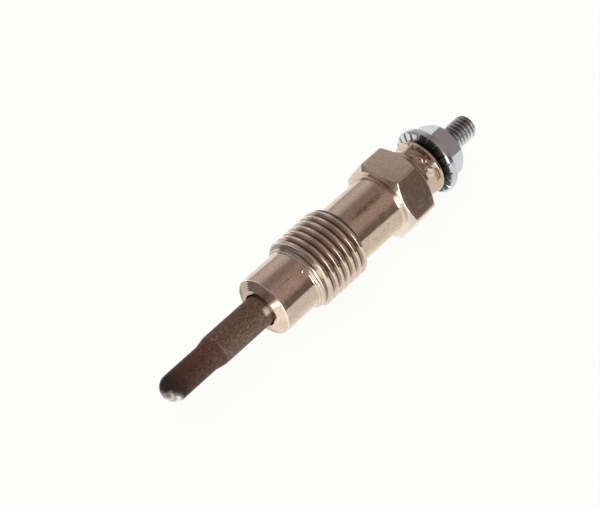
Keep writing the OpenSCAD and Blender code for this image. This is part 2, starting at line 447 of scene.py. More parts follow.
def hexAngles(flatAt, steps, acrossFlats, edge, cornerSteps=6):
    # even steps with more of them round each corner
    reachAt = flatReach(acrossFlats / 2, edge)
    found = []
    for k in range(6):
        middle = flatAt + k * math.pi / 3
        found += [middle - reachAt + 2 * reachAt * i / steps for i in range(steps + 1)]
        rest = math.pi / 3 - 2 * reachAt
        found += [middle + reachAt + rest * i / cornerSteps for i in range(1, cornerSteps)]
    return sorted(a % (2 * math.pi) for a in found)


def finishMesh(bm, name, material, node):
    bmesh.ops.remove_doubles(bm, verts=bm.verts, dist=1e-6)
    bmesh.ops.dissolve_degenerate(bm, edges=bm.edges, dist=1e-7)
    bmesh.ops.recalc_face_normals(bm, faces=bm.faces)
    loose = [e for e in bm.edges if not e.is_manifold]
    sharpFrom = math.radians(34.0)
    for face in bm.faces:
        face.smooth = True
    for edge in bm.edges:
        edge.smooth = edge.is_manifold and edge.calc_face_angle(0) < sharpFrom
    mesh = bpy.data.meshes.new(name)
    bm.to_mesh(mesh)
    print(name, "faces", len(bm.faces), "open edges", len(loose))
    bm.free()
    piece = newObject(name, mesh)
    mesh.materials.append(material)
    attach(piece, "root")
    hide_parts(node)


# Geometry Nodes: shapes laid on a grid that is wound round the axis

def newWoundTree(name, sizes, counts):
    # a tree with its sizes, counts and finish as named inputs
    tree = bpy.data.node_groups.new(name, "GeometryNodeTree")
    labels = [(label, "NodeSocketFloat") for label in sizes] + [(label, "NodeSocketInt") for label in counts]
    for label, kind in labels + [("Finish", "NodeSocketMaterial")]:
        tree.interface.new_socket(label, in_out="INPUT", socket_type=kind)
    tree.interface.new_socket("Geometry", in_out="OUTPUT", socket_type="NodeSocketGeometry")
    return tree, addNode(tree, "NodeGroupInput").outputs


def flatGrid(tree, length, steps, rows):
    # returns the grid, and each point's share of a turn and its place on the length
    grid = addNode(tree, "GeometryNodeMeshGrid")
    grid.inputs["Size X"].default_value = 1.0
    feed(grid.inputs["Size Y"], length)
    feed(grid.inputs["Vertices X"], plus(steps, 1))
    feed(grid.inputs["Vertices Y"], plus(rows, 1))
    u, v, _ = spread(addNode(tree, "GeometryNodeInputPosition").outputs[0])
    return grid.outputs["Mesh"], plus(u, 0.5), timesPlus(length, 0.5, v)


def windGrid(tree, grid, place, radius, angle, finish):
    # puts the grid's points round the axis, closes the seam and ends the tree
    spot = addNode(tree, "ShaderNodeCombineXYZ")
    feed(spot.inputs[0], place)
    feed(spot.inputs[1], times(radius, calc("COSINE", angle)))
    feed(spot.inputs[2], times(radius, calc("SINE", angle)))
    shaped = addNode(tree, "GeometryNodeSetPosition")
    feed(shaped.inputs["Geometry"], grid)
    feed(shaped.inputs["Position"], spot.outputs[0])
    merged = addNode(tree, "GeometryNodeMergeByDistance")
    feed(merged.inputs["Geometry"], shaped.outputs[0])
    merged.inputs["Distance"].default_value = 1e-6
    real = addNode(tree, "GeometryNodeRealizeInstances")
    feed(real.inputs["Geometry"], merged.outputs[0])
    painted = addNode(tree, "GeometryNodeSetMaterial")
    feed(painted.inputs["Geometry"], real.outputs[0])
    feed(painted.inputs["Material"], finish)
    feed(addNode(tree, "NodeGroupOutput").inputs[0], painted.outputs[0])


def makeThreadTree():
    tree, given = newWoundTree(
        "rolledThread",
        ["Start", "End", "Pitch", "Crest Radius", "Root Radius", "Front Radius", "Lead In", "Rear Radius",
         "Run Out", "Crest Share", "Root Share", "Edge Ease", "Stepped", "Shift"],
        ["Turns", "Steps Round", "Rows Per Turn"])
    grid, turn, row = flatGrid(tree, given["Turns"], given["Steps Round"],
                               times(given["Turns"], given["Rows Per Turn"]))

    # ridge height over one pitch: straight flanks with eased edges at the crest and the root
    wave = calc("PINGPONG", times(minus(row, given["Shift"]), 2.0), 1.0)
    flank = between(wave, given["Root Share"], minus(1.0, given["Crest Share"]),
                    given["Root Radius"], given["Crest Radius"], clamp=False)
    height = calc("SMOOTH_MAX", flank, given["Root Radius"], given["Edge Ease"])
    height = calc("SMOOTH_MIN", height, given["Crest Radius"], given["Edge Ease"])
    place = timesPlus(plus(row, minus(turn, 1.0)), given["Pitch"], given["Start"])
    place = calc("MINIMUM", calc("MAXIMUM", place, given["Start"]), given["End"])

    # cones at both ends, where the crests come down and the grooves get shallow
    inFront = calc("DIVIDE", minus(place, given["Start"]), given["Lead In"], clamp=True)
    inRear = calc("DIVIDE", minus(given["End"], place), given["Run Out"], clamp=True)
    front = between(inFront, 0.0, 1.0, given["Front Radius"], given["Crest Radius"])
    rear = between(inRear, 0.0, 1.0, given["Rear Radius"], given["Crest Radius"])
    depth = times(minus(given["Crest Radius"], height), calc("MINIMUM", between(inFront, 0.4, 1.0), inRear))
    radius = minus(calc("MINIMUM", front, rear), depth)

    # the front cone climbs in three steps to a pitch, where the rolled ridge isn't filled
    stepsPerPitch = 3.0
    phase = calc("FRACT", times(row, stepsPerPitch))
    step = minus(between(phase, 0.6, 1.0), phase)
    rise = times(minus(given["Crest Radius"], given["Front Radius"]), given["Pitch"])
    climb = calc("DIVIDE", rise, times(given["Lead In"], stepsPerPitch))
    unfilled = times(between(inFront, 0.0, 0.12), between(inFront, 0.8, 1.0, 1.0, 0.0))
    radius = plus(radius, times(step, climb, unfilled, given["Stepped"]))
    windGrid(tree, grid, place, radius, times(turn, 2 * math.pi), given["Finish"])
    return tree


def makeSerrationTree():
    # the serrated cone under the nut's flange, with its bevelled edge
    tree, given = newWoundTree(
        "serratedCone",
        ["Start", "Cone Height", "Bevel", "Base Radius", "Rim Radius", "Exit", "Depth", "Flank",
         "First Angle"],
        ["Teeth", "Steps Per Tooth", "Rows"])
    steps = times(given["Teeth"], given["Steps Per Tooth"])
    grid, turn, climb = flatGrid(tree, 1.0, steps, given["Rows"])

    # the plain surface runs out over the cone, over the bevel and a little up the rim
    coneEnd, bevelEnd = 0.7, 0.9  # shares of the climb
    coneRadius = minus(given["Rim Radius"], given["Bevel"])
    bevelled = between(climb, coneEnd, bevelEnd, 0.0, given["Bevel"])
    radius = plus(between(climb, 0.0, coneEnd, given["Base Radius"], coneRadius), bevelled)
    up = plus(between(climb, 0.0, coneEnd, 0.0, given["Cone Height"]), bevelled)
    up = plus(up, between(climb, bevelEnd, 1.0, 0.0, given["Exit"]))

    # distance round the axis to the nearest groove, and how far its floor lies above the bearing face
    off = calc("PINGPONG", times(turn, given["Teeth"]), 0.5)
    arc = times(calc("DIVIDE", off, given["Teeth"]), times(radius, 2 * math.pi))
    rise = calc("DIVIDE", given["Cone Height"], minus(coneRadius, given["Base Radius"]))
    floor = plus(times(minus(radius, given["Base Radius"]), rise), given["Depth"])
    floor = minus(floor, times(arc, given["Flank"]))
    place = plus(given["Start"], calc("MAXIMUM", up, floor))
    angle = timesPlus(turn, 2 * math.pi, given["First Angle"])
    windGrid(tree, grid, place, radius, angle, given["Finish"])
    return tree


def grow(bm, tree, name, values):
    # runs a node tree on an empty carrier and adds its plain mesh
    carrier = newObject(name, bpy.data.meshes.new(name))
    modifier = carrier.modifiers.new(name, "NODES")
    modifier.node_group = tree
    for item in tree.interface.items_tree:
        if item.in_out == "INPUT":
            modifier[item.identifier] = values[item.name]
    graph = bpy.context.evaluated_depsgraph_get()
    mesh = bpy.data.meshes.new_from_object(carrier.evaluated_get(graph), depsgraph=graph)
    carrier.modifiers.remove(modifier)
    bpy.data.objects.remove(carrier)
    bm.from_mesh(mesh)
    bpy.data.meshes.remove(mesh)


threadTree = makeThreadTree()
serrationTree = makeSerrationTree()
print("node trees made")

# rolling and plating leave the crests broad and the roots narrow
threadForm = {
    "depth": 0.5413,  # of the pitch, as in any metric thread
    "crestShare": 0.29,
    "rootShare": 0.14,
    "edgeEase": 0.04,  # of the pitch
    "rowsPerTurn": 24,
}


def addThread(bm, material, steps, start, end, pitch, crest, front, rear, stepped=0.0, shift=0.0):
    # front and rear are the cones at the thread's ends, as (radius, length); sizes in mm
    form = threadForm
    grow(bm, threadTree, "threadTurns", {
        "Start": start * mm, "End": end * mm, "Pitch": pitch * mm,
        "Crest Radius": crest * mm, "Root Radius": (crest - form["depth"] * pitch) * mm,
        "Front Radius": front[0] * mm, "Lead In": front[1] * mm,
        "Rear Radius": rear[0] * mm, "Run Out": rear[1] * mm,
        "Crest Share": form["crestShare"], "Root Share": form["rootShare"],
        "Edge Ease": form["edgeEase"] * pitch * mm, "Stepped": stepped, "Shift": shift,
        "Turns": math.ceil((end - start) / pitch) + 1,
        "Steps Round": steps, "Rows Per Turn": form["rowsPerTurn"], "Finish": material})


# Shell: nose with seat cone, thread, shank, hexagon, crimped neck

shellSetup = {
    "steps": 192,
    "noseRadius": 4.9,
    "seatFaceRadius": 3.5,
    "seatEnd": 0.81,
    "seatRings": 5,  # fine steps that the cutting tool left on the seat cone
    "seatRingDepth": 0.06,
    "mouthRadius": 2.75,
    "mouthDepth": 2.0,
    "gripRadius": 2.5,
    "gripEnd": 21.0,
    "chamberRadius": 3.0,
    "ringPlace": 30.4,
    "rearBoreRadius": 3.4,
    "noseRows": (5.2, 30),  # start in mm, rings up to the thread
    "leadIn": 1.5,
    "leadInStepped": 0.9,
    "threadShift": 0.58,  # share of a pitch
    "pitch": 1.25,
    "threadBevel": 0.5,
    "shankRadius": 4.9,
    "hexStart": 26.6,
    "hexEnd": 32.4,
    "hexFrontRadius": 5.85,
    "hexRearRadius": 5.6,
    "hexChamfer": 36.0,  # degrees
    "hexEdge": 0.32,
    "stepRadius": 4.75,
    "stepEnd": 33.6,
    "neckRadius": 4.55,
    "neckSteps": 288,
    "neckRows": 22,
    "crimpDepth": 0.46,
    "crimpFlats": 6,
    "crimpAt": 46.0,  # degrees, middle of a flat
    "crimpFall": 0.15,  # the flats lie deeper towards the rear
    "lipStart": 35.75,
    "lipRadius": 4.6,
    "lipEnd": 36.62,
    # bruises of the nose and the crimp: place in mm, degrees round the axis, width in mm, height in mm
    "noseMarks": [(6.8, 115.5, 0.4, -0.07), (6.9, 120.5, 0.28, 0.25), (5.9, 171.0, 0.35, -0.04)],
    "neckMarks": [(34.95, 113.0, 0.36, 0.4), (34.6, 107.0, 0.24, 0.16), (35.2, 125.5, 0.22, -0.3),
                  (34.55, 123.0, 0.2, -0.14), (34.3, 96.0, 0.24, -0.07), (35.3, 84.0, 0.3, 0.06),
                  (34.6, 138.0, 0.2, 0.1), (35.1, 142.0, 0.19, 0.11), (34.85, 149.0, 0.2, -0.09),
                  (34.35, 146.0, 0.18, 0.09), (35.35, 151.0, 0.18, 0.08), (34.5, 156.0, 0.22, -0.07),
                  (34.6, 66.0, 0.3, -0.07), (35.2, 250.0, 0.3, 0.08)],
    # warm nickel plate on turned steel
    "plate": {
        "dark": (0.74, 0.59, 0.455),
        "light": (0.83, 0.67, 0.53),
        "grain": (0.52, 0.395, 0.295),
        "speck": (0.38, 0.27, 0.20),
        "filmAndShade": (0.76, 0.675, 0.59),
        # grime colour, also used for painted shade in the grooves and on the lead-in cone
        "dirtAndShade": (0.21, 0.145, 0.11),
        # sooted seat colour, partly painted shade
        "sootAndShade": (0.16, 0.115, 0.085),
        # lighter plate for wear, also used as painted highlight
        "wearAndHighlight": (0.92, 0.8, 0.7),
        # painted shade in the thread's roots
        "root": (0.09, 0.055, 0.04),
        # painted shade behind the hexagon
        "corner": (0.17, 0.115, 0.085),
        # lighter patch on the neck, partly painted highlight
        "rubbedAndGlint": (0.95, 0.88, 0.81),
        # colour of scratches, stains and a painted reflection
        "markAndReflection": (0.27, 0.19, 0.14),
        "rubbedAndGlintAt": (34.9, 146.0),  # place in mm, degrees round the axis
        # the broad second streak is a painted reflection, the others are scratches and stains
        # first and last mm, degrees round the axis, lean in degrees per mm, width in degrees, strength
        "marks": [(1.2, 6.4, 116.2, 0.15, 1.0, 0.9), (17.0, 27.0, 112.8, -0.1, 9.0, 1.0),
                  (22.6, 24.0, 139.5, 1.5, 1.2, 0.8), (2.5, 6.8, 143.0, 0.3, 1.2, 0.6),
                  (19.4, 21.2, 164.0, 7.0, 1.6, 0.55), (21.4, 22.9, 172.0, -6.0, 1.6, 0.6),
                  (22.6, 24.2, 157.0, 8.0, 1.5, 0.6)],
    },
}


def threadPlace(s):
    # where the shell's thread starts and ends, and the radius of its crests, in mm
    screw = mounts["shell_thread"]
    middle = screw["pos_m"][0] / mm
    half = screw["dims"]["length_mm"] / 2
    return middle - half - s["leadIn"], middle + half + s["threadBevel"], screw["dims"]["r_mm"]


def makeNickelPlate(s):
    look = s["plate"]
    material, tree, shader = newFinish("nickelPlate", 1.0, 0.14, (0.75, 0.60, 0.47))
    threadStart, threadEnd, crestRadius = threadPlace(s)
    cloud, speck = useEffect(tree, "mottle", 1.4)[:2]
    grain = useEffect(tree, "mottle", 0.29)[0]
    lines = useEffect(tree, "turningLines", 9.0)[0]
    scuff = useEffect(tree, "scuffs", 0.7)[0]
    x, y, z = spread(millimetres(tree))
    radius = fromAxis(y, z)
    turn = times(calc("ARCTAN2", z, y), 180 / math.pi)  # degrees round the axis

    # depth under the thread's crests, which come down over the lead-in cone
    ridged = times(calc("GREATER_THAN", x, threadStart), calc("LESS_THAN", x, threadEnd))
    crest = between(x, threadStart, threadStart + s["leadIn"], s["noseRadius"], crestRadius)
    below = minus(crest, radius)
    groove = times(between(below, 0.05, 0.22), ridged)
    # painted shade deep in the thread's roots
    root = times(between(below, 0.42, 0.6, 0.0, 0.72), ridged)
    # grooves darker with grime, and painted shade that grows towards the far side; painted shade on the
    # lead-in cone's far side
    held = plus(between(cloud, 0.35, 0.65, 0.0, 0.14), between(y, -0.8, 2.2, 0.0, 0.5))
    dirtAndShade = times(groove, held)
    leadIn = times(between(apart(x, threadStart + 0.8), 0.8, 0.5), between(y, -1.2, 0.3, 0.0, 0.5))
    # sooted steps of the seat, with painted shade that keeps them dark on the far side and clear on the near
    # side
    step = calc("SINE", times(x, 2 * math.pi * s["seatRings"] / s["seatEnd"]))
    sootAndShade = times(between(x, s["seatEnd"] + 0.03, s["seatEnd"] - 0.03),
                 between(y, -2.7, -0.4, 0.0, 0.8), between(step, -0.5, 0.5, 0.3, 1.0))
    # lighter plate on the thread's crests and the seat's edge, partly wear and partly painted highlight;
    # painted highlight on the hexagon's front on the near side
    crests = times(between(below, 0.12, 0.03), ridged, between(grain, 0.42, 0.56, 1.0, 0.45))
    edge = times(between(apart(x, s["seatEnd"] + 0.04), 0.14, 0.06),
                 between(radius, s["noseRadius"] - 0.2, s["noseRadius"] - 0.12))
    front = times(between(apart(x, s["hexStart"] + 0.15), 0.75, 0.45), between(y, -1.5, -3.5))
    wearAndHighlight = calc("MAXIMUM", crests, calc("MAXIMUM", edge, front))
    # painted shade in the corner behind the hexagon, and a lighter patch on the neck, partly wear and partly
    # painted highlight
    corner = times(between(x, s["hexEnd"] + 0.4, s["hexEnd"] + 0.8, 0.75, 0.0),
                   calc("GREATER_THAN", x, s["hexEnd"] - 0.01))
    place, angle = look["rubbedAndGlintAt"]
    rubbedAndGlint = times(between(apart(turn, angle), 14.0, 8.0),
                   between(apart(x, place), 0.8, 0.4), between(grain, 0.4, 0.55, 0.9, 0.4))
    layers = [
        (between(grain, 0.4, 0.66, 0.0, 0.62), look["grain"]), (times(speck, 0.4), look["speck"]),
        (times(groove, 0.5), look["filmAndShade"]), (dirtAndShade, look["dirtAndShade"]), (leadIn, look["dirtAndShade"]),
        (sootAndShade, look["sootAndShade"]), (times(wearAndHighlight, 0.85), look["wearAndHighlight"]), (root, look["root"]),
        (corner, look["corner"]), (rubbedAndGlint, look["rubbedAndGlint"])]

    # scratches and stains along the nose and the shank; the broad streak along the shank is a painted
    # reflection
    for first, last, angle, lean, width, strength in look["marks"]:
        middle = timesPlus(minus(x, first), lean, angle)
        wander = timesPlus(minus(cloud, 0.5), width, middle)
        line = smooth(apart(turn, wander), width * 0.1, width, strength, 0.0)
        fade = (last - first) / 3
        line = times(line, between(x, first, first + fade), between(x, last - fade, last, 1.0, 0.0),
                     between(grain, 0.3, 0.55, 0.45, 1.0))
        layers.append((line, look["markAndReflection"]))
    tint = blendColours(between(cloud, 0.3, 0.7), look["dark"], look["light"])
    feed(shader.inputs["Base Color"], layOver(tint, layers))
    rough = plus(between(cloud, 0.3, 0.7, 0.1, 0.17), times(dirtAndShade, 0.2))
    feed(shader.inputs["Roughness"], plus(rough, times(scuff, 0.14)))
    bumpFrom(shader, minus(lines, times(scuff, 1.2)), 0.0016)
    return material


def bruise(x, r, a, marks):
    # radius at a place and an angle, with the marks struck into it
    for place, angle, width, height in marks:
        off = (a - math.radians(angle) + math.pi) % (2 * math.pi) - math.pi
        r += height * math.exp(-((x - place) ** 2 + (off * r) ** 2) / width ** 2)
    return r


def seatSteps(front, s):
    # points of the stepped seat cone, from its face to its edge
    face = Vector((front, s["seatFaceRadius"]))
    along = Vector((s["seatEnd"], s["noseRadius"])) - face
    square = Vector((along.y, -along.x)).normalized() * s["seatRingDepth"]
    perRing, plainEnd = 8, 3
    parts = s["seatRings"] * perRing
    points = []
    for i in range(plainEnd, parts - plainEnd):
        phase = i % perRing / perRing
        spot = face + along * (i / parts) + square * min(phase / 0.85, (1 - phase) / 0.15)
        points.append((spot.x, spot.y, 0))
    return points


def makeShell(s):
    bm = bmesh.new()
    plate = makeNickelPlate(s)
    front, rear = ends("shell")
    acrossFlats = 2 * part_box("shell")[1].z / mm
    threadStart, threadEnd, crest = threadPlace(s)
    even = evenAngles(s["steps"])

    # bores from the rear to the mouth, then the seat and the nose
    rowStart, rowCount = s["noseRows"]
    turned = [
        (rear, s["rearBoreRadius"], 0), (s["ringPlace"], s["rearBoreRadius"], 0.1),
        (s["ringPlace"], s["chamberRadius"], 0.1), (s["gripEnd"], s["chamberRadius"], 0.1),
        (s["gripEnd"], s["gripRadius"], 0.1), (s["mouthDepth"], s["gripRadius"], 0.05),
        (s["mouthDepth"], s["mouthRadius"], 0.05), (front, s["mouthRadius"], 0.08),
        (front, s["seatFaceRadius"], 0.08), *seatSteps(front, s),
        (s["seatEnd"], s["noseRadius"], 0.12), (rowStart, s["noseRadius"], 0)]
    addTurned(bm, roundProfile(turned), even)

    def nosePath(a):
        path = []
        for i in range(rowCount + 1):
            x = rowStart + (threadStart - rowStart) * i / rowCount
            hit = bruise(x, s["noseRadius"], a, s["noseMarks"]) - s["noseRadius"]
            held = min((x - rowStart) / 0.3, (threadStart - x) / 0.12, 1)  # both ends stay round
            path.append((x, s["noseRadius"] + hit * held))
        return path

    addFaceted(bm, even, nosePath)
    addThread(bm, plate, s["steps"], threadStart, threadEnd, s["pitch"], crest,
              (s["noseRadius"], s["leadIn"]), (s["shankRadius"], s["threadBevel"]),
              s["leadInStepped"], s["threadShift"])
    shank = [(threadEnd, s["shankRadius"], 0), (threadEnd + 0.12, s["shankRadius"], 0),
             (s["hexStart"], s["shankRadius"], 0.25), (s["hexStart"], s["shankRadius"] + 0.4, 0)]
    _, hexFoot = addTurned(bm, roundProfile(shank), even)

    # hexagon with rounded edges, chamfered by cones at both ends
    flatAt = math.pi / 6
    slope = math.tan(math.radians(s["hexChamfer"]))

    def hexPath(a):
        side = hexRadius(a, acrossFlats, flatAt, s["hexEdge"])
        return roundProfile([
            (s["hexStart"], s["hexFrontRadius"] - 0.2, 0), (s["hexStart"], s["hexFrontRadius"], 0.08),
            (s["hexStart"] + (side - s["hexFrontRadius"]) * slope, side, 0.25),
            (s["hexEnd"] - (side - s["hexRearRadius"]) * slope, side, 0.2),
            (s["hexEnd"], s["hexRearRadius"], 0.08), (s["hexEnd"], s["hexRearRadius"] - 0.2, 0)])

    hexFront, hexRear = addFaceted(bm, hexAngles(flatAt, 22, acrossFlats, s["hexEdge"]), hexPath)
    zipRings(bm, hexFoot, hexFront)

    # step, crimped neck and rolled lip
    crimp = math.radians(s["crimpAt"])
    sector = 2 * math.pi / s["crimpFlats"]
    lipInner = s["lipRadius"] - 0.5

    def neckPath(a):
        off = (a - crimp + sector / 2) % sector - sector / 2
        flat = s["neckRadius"] - s["crimpDepth"]
        first = min(s["neckRadius"], flat / math.cos(off))
        last = min(s["neckRadius"], (flat - s["crimpFall"]) / math.cos(off))
        path = roundProfile([
            (s["hexEnd"], s["stepRadius"] + 0.25, 0), (s["hexEnd"], s["stepRadius"], 0.12),
            (s["stepEnd"], s["stepRadius"], 0.15), (s["stepEnd"], first + 0.05, 0.05),
            (s["stepEnd"] + 0.15, first, 0.1), (s["lipStart"], last, 0.12)])
        rolled = roundProfile([
            (s["lipStart"], last, 0), (s["lipStart"] + 0.3, s["lipRadius"], 0.15),
            (s["lipEnd"], s["lipRadius"], 0.18), (s["lipEnd"], lipInner, 0)])
        begin, stop = Vector(path[-2]), Vector(path[-1])
        rows = [begin.lerp(stop, i / s["neckRows"]) for i in range(1, s["neckRows"])]
        return path[:-1] + [(x, bruise(x, r, a, s["neckMarks"])) for x, r in rows] + rolled

    stepFoot, neckEnd = addFaceted(bm, evenAngles(s["neckSteps"]), neckPath)
    zipRings(bm, hexRear, stepFoot)
    lipInside = roundProfile([(s["lipEnd"], lipInner, 0), (rear, lipInner - 0.1, 0.1),
                              (rear, s["rearBoreRadius"], 0)])
    lipFoot, _ = addTurned(bm, lipInside, even)
    zipRings(bm, neckEnd, lipFoot)
    finishMesh(bm, "shellBody", plate, "shell")


makeShell(shellSetup)


# Glow tube: swaged sheath, browned by heat, brighter steel at the end

tubeSetup = {
    "steps": 144,
    "domeSteps": 14,
    "tipRadius": 2.15,
    "taperStart": -11.5,
    "taperEnd": -9.65,
    "tubeRadius": 2.5,
    "wall": 0.7,
    "endWall": 1.1,
    "shoulderRound": 1.6,
    "ringRound": 0.35,
    # heat-browned alloy; pairs are the colours between the draw lines and on them
    "sheath": {
        "tube": ((0.105, 0.056, 0.036), (0.19, 0.128, 0.094)),
        # lighter copies for painted light along the near side
        "tubeLit": ((0.17, 0.115, 0.085), (0.36, 0.28, 0.215)),
        "swaged": ((0.085, 0.036, 0.025), (0.165, 0.085, 0.063)),
        "swagedLit": ((0.09, 0.049, 0.036), (0.2, 0.13, 0.095)),
        "towardsTip": (0.024, 0.012, 0.009),
        "grain": (0.045, 0.022, 0.016),
        "olive": (0.30, 0.245, 0.18),
        # painted reflection of the seat beside the mouth
        "rubbedAndGlint": (0.82, 0.66, 0.58),
        "ring": (0.32, 0.27, 0.22),
        "sootAndShade": (0.022, 0.016, 0.014),
        "steelDark": (0.3, 0.3, 0.31),
        "steelLight": (0.74, 0.68, 0.64),
        "steelFleck": (0.14, 0.09, 0.06),
        "weld": (0.2, 0.12, 0.07),
        "rubbedAndGlintAt": (-0.4, 1.5),  # mm along the axis and above it
        "bareTowards": (0.506, -0.526, -0.683),  # to the front, across and up
        "weldAt": (-0.34, 0.22),  # across and up, in tip radii
    },
}


def makeSheathFinish(s, tipPlace):
    look, tipRadius, ringPlace = s["sheath"], s["tipRadius"], s["taperEnd"]
    material, tree, shader = newFinish("heatedSheath", 0.1, 0.5, (0.10, 0.06, 0.045), Specular_IOR_Level=0.1)
    cloud = useEffect(tree, "mottle", 1.1)[0]
    grain = useEffect(tree, "mottle", 0.34)[0]
    fleck = useEffect(tree, "mottle", 1.7)[1]
    lines, drawn = useEffect(tree, "drawLines", 7.0)[:2]
    x, y, z = spread(millimetres(tree))
    outwards = calc("MAXIMUM", fromAxis(y, z), 0.1)

    # painted light: lighter copies of the colours along the near side, and darker towards the tip
    side = between(calc("DIVIDE", y, outwards), -0.45, -0.95, 0.0, 0.7)
    shades = []
    for name in ("tube", "swaged"):
        plain = blendColours(drawn, *look[name])
        litCopy = blendColours(drawn, *look[name + "Lit"])
        shades.append(blendColours(side, plain, litCopy))
    upper, lower = shades
    nearTip = between(x, tipPlace + 2.0, ringPlace - 2.0, 0.6, 0.0)
    lower = blendColours(nearTip, lower, look["towardsTip"])
    swaged = between(timesPlus(cloud, 0.5, x), ringPlace + 0.2, ringPlace + 0.45, 1.0, 0.0)

    # painted reflection of the seat on the tube beside the mouth, the ring where the swaging stopped, and a
    # sooted end
    along, above = look["rubbedAndGlintAt"]
    rubbedAndGlint = times(between(apart(x, along), 0.3, 0.75, 1.0, 0.0),
                   between(apart(z, above), 0.2, 0.6, 0.8, 0.0), calc("LESS_THAN", y, 0.0))
    ring = between(apart(x, ringPlace), 0.05, 0.2, 0.6, 0.0)
    sootAndShade = between(timesPlus(cloud, 1.6, x), tipPlace + 2.2, tipPlace + 4.4, 1.0, 0.0)
    brown = layOver(blendColours(swaged, upper, lower), [
        (between(grain, 0.4, 0.65, 0.0, 0.6), look["grain"]),
        (times(fleck, between(swaged, 0.0, 1.0, 0.6, 0.35)), look["olive"]),
        (rubbedAndGlint, look["rubbedAndGlint"]), (times(ring, drawn), look["ring"]),
        (times(sootAndShade, 0.8), look["sootAndShade"])])

    # bare steel on the lower front of the dome
    dome = calc("DIVIDE", minus(tipPlace + tipRadius, x), tipRadius)
    forwards, across, up = look["bareTowards"]
    facing = times(dome, forwards)
    facing = timesPlus(y, across / tipRadius, facing)
    facing = timesPlus(z, up / tipRadius, facing)
    facing = timesPlus(minus(cloud, 0.5), 0.7, facing)
    bare = times(between(facing, 0.16, 0.7), between(x, tipPlace + 1.25, tipPlace + 1.9, 1.0, 0.0))
    steel = blendColours(between(cloud, 0.4, 0.6), look["steelDark"], look["steelLight"])
    steel = blendColours(times(fleck, 0.6), steel, look["steelFleck"])

    # brown spot of the weld that closes the tube
    across, up = look["weldAt"]
    aside = plus(calc("POWER", minus(y, across * tipRadius), 2.0),
                 calc("POWER", minus(z, up * tipRadius), 2.0))
    weld = times(between(aside, 0.05, 0.3, 1.0, 0.0), between(dome, 0.4, 0.6), 0.85)
    tint = layOver(brown, [(bare, steel), (weld, look["weld"])])
    feed(shader.inputs["Base Color"], tint)
    feed(shader.inputs["Metallic"], between(bare, 0.0, 1.0, 0.1, 1.0))
    rough = timesPlus(drawn, -0.1, 0.56)
    feed(shader.inputs["Roughness"], timesPlus(bare, -0.28, rough))
    bumpFrom(shader, timesPlus(grain, 0.8, lines), 0.009)
    return material


def makeGlowTube(s):
    bm = bmesh.new()
    tip, rear = ends("glow_tube")
    sheath = makeSheathFinish(s, tip)
    quarter = [math.pi / 2 * i / s["domeSteps"] for i in range(s["domeSteps"] + 1)]
    dome = [(tip + s["tipRadius"] * (1 - math.cos(a)), s["tipRadius"] * math.sin(a)) for a in quarter]
    body = roundProfile([
        (tip + s["tipRadius"], s["tipRadius"], 0), (s["taperStart"], s["tipRadius"], s["shoulderRound"]),
        (s["taperEnd"], s["tubeRadius"], s["ringRound"]), (rear, s["tubeRadius"], 0.1),
        (rear, s["tubeRadius"] - s["wall"], 0.1), (s["taperEnd"], s["tubeRadius"] - s["wall"], 0.2),
        (s["taperStart"], s["tipRadius"] - s["wall"], 0.2),
        (tip + s["endWall"], s["tipRadius"] - s["wall"], 0.2), (tip + s["endWall"], 0, 0)])
    addTurned(bm, dome + body[1:], evenAngles(s["steps"]))
    finishMesh(bm, "glowTube", sheath, "glow_tube")


makeGlowTube(tubeSetup)


# Terminal rod with its rolled stud

rodSetup = {
    "steps": 96,
    "rodRadius": 1.4,
    "coneStart": 29.6,
    "coneEnd": 30.4,
    "blankRadius": 1.775,
    "pitch": 0.7,
    "sunkStart": 0.3,
    "startRadius": 1.6,  # under the thread's root
    "startCone": 0.3,
    "endChamfer": 0.4,
    "endCap": 0.1,  # beyond the thread
    "endDrop": 0.35,
    "endRound": 0.3,
    "zinc": {
        "dark": (0.63, 0.65, 0.66),
        "light": (0.8, 0.82, 0.83),
        "speck": (0.14, 0.11, 0.10),
        # darker in the grooves, partly painted shade
        "dirtAndShade": (0.08, 0.078, 0.078),
        # painted shade over the top and the far side
        "filmAndShade": (0.09, 0.09, 0.092),
        "rust": (0.10, 0.055, 0.045),
    },
}


def makeStudFinish(look, endPlace):
    material, tree, shader = newFinish("greyZincStud", 1.0, 0.3, (0.40, 0.40, 0.41))
    cloud, speck = useEffect(tree, "mottle", 0.9)[:2]
    lines = useEffect(tree, "turningLines", 12.0)[0]
    x, y, z = spread(millimetres(tree))
    # darker in the grooves, painted shade over the top and the far side that fades out along the lower near
    # side, rust on the end
    dirtAndShade = times(between(fromAxis(y, z), 1.92, 1.7), 0.55)
    filmAndShade = between(timesPlus(z, 0.75, y), -0.3, 0.6, 0.0, 0.38)
    rust = between(x, endPlace - 0.5, endPlace - 0.1, 0.0, 0.7)
    tint = blendColours(between(cloud, 0.35, 0.65), look["dark"], look["light"])
    tint = layOver(tint, [
        (times(speck, 0.6), look["speck"]), (dirtAndShade, look["dirtAndShade"]),
        (filmAndShade, look["filmAndShade"]), (rust, look["rust"])])
    feed(shader.inputs["Base Color"], tint)
    feed(shader.inputs["Roughness"], between(cloud, 0.3, 0.7, 0.16, 0.28))
    bumpFrom(shader, lines, 0.002)
    return material


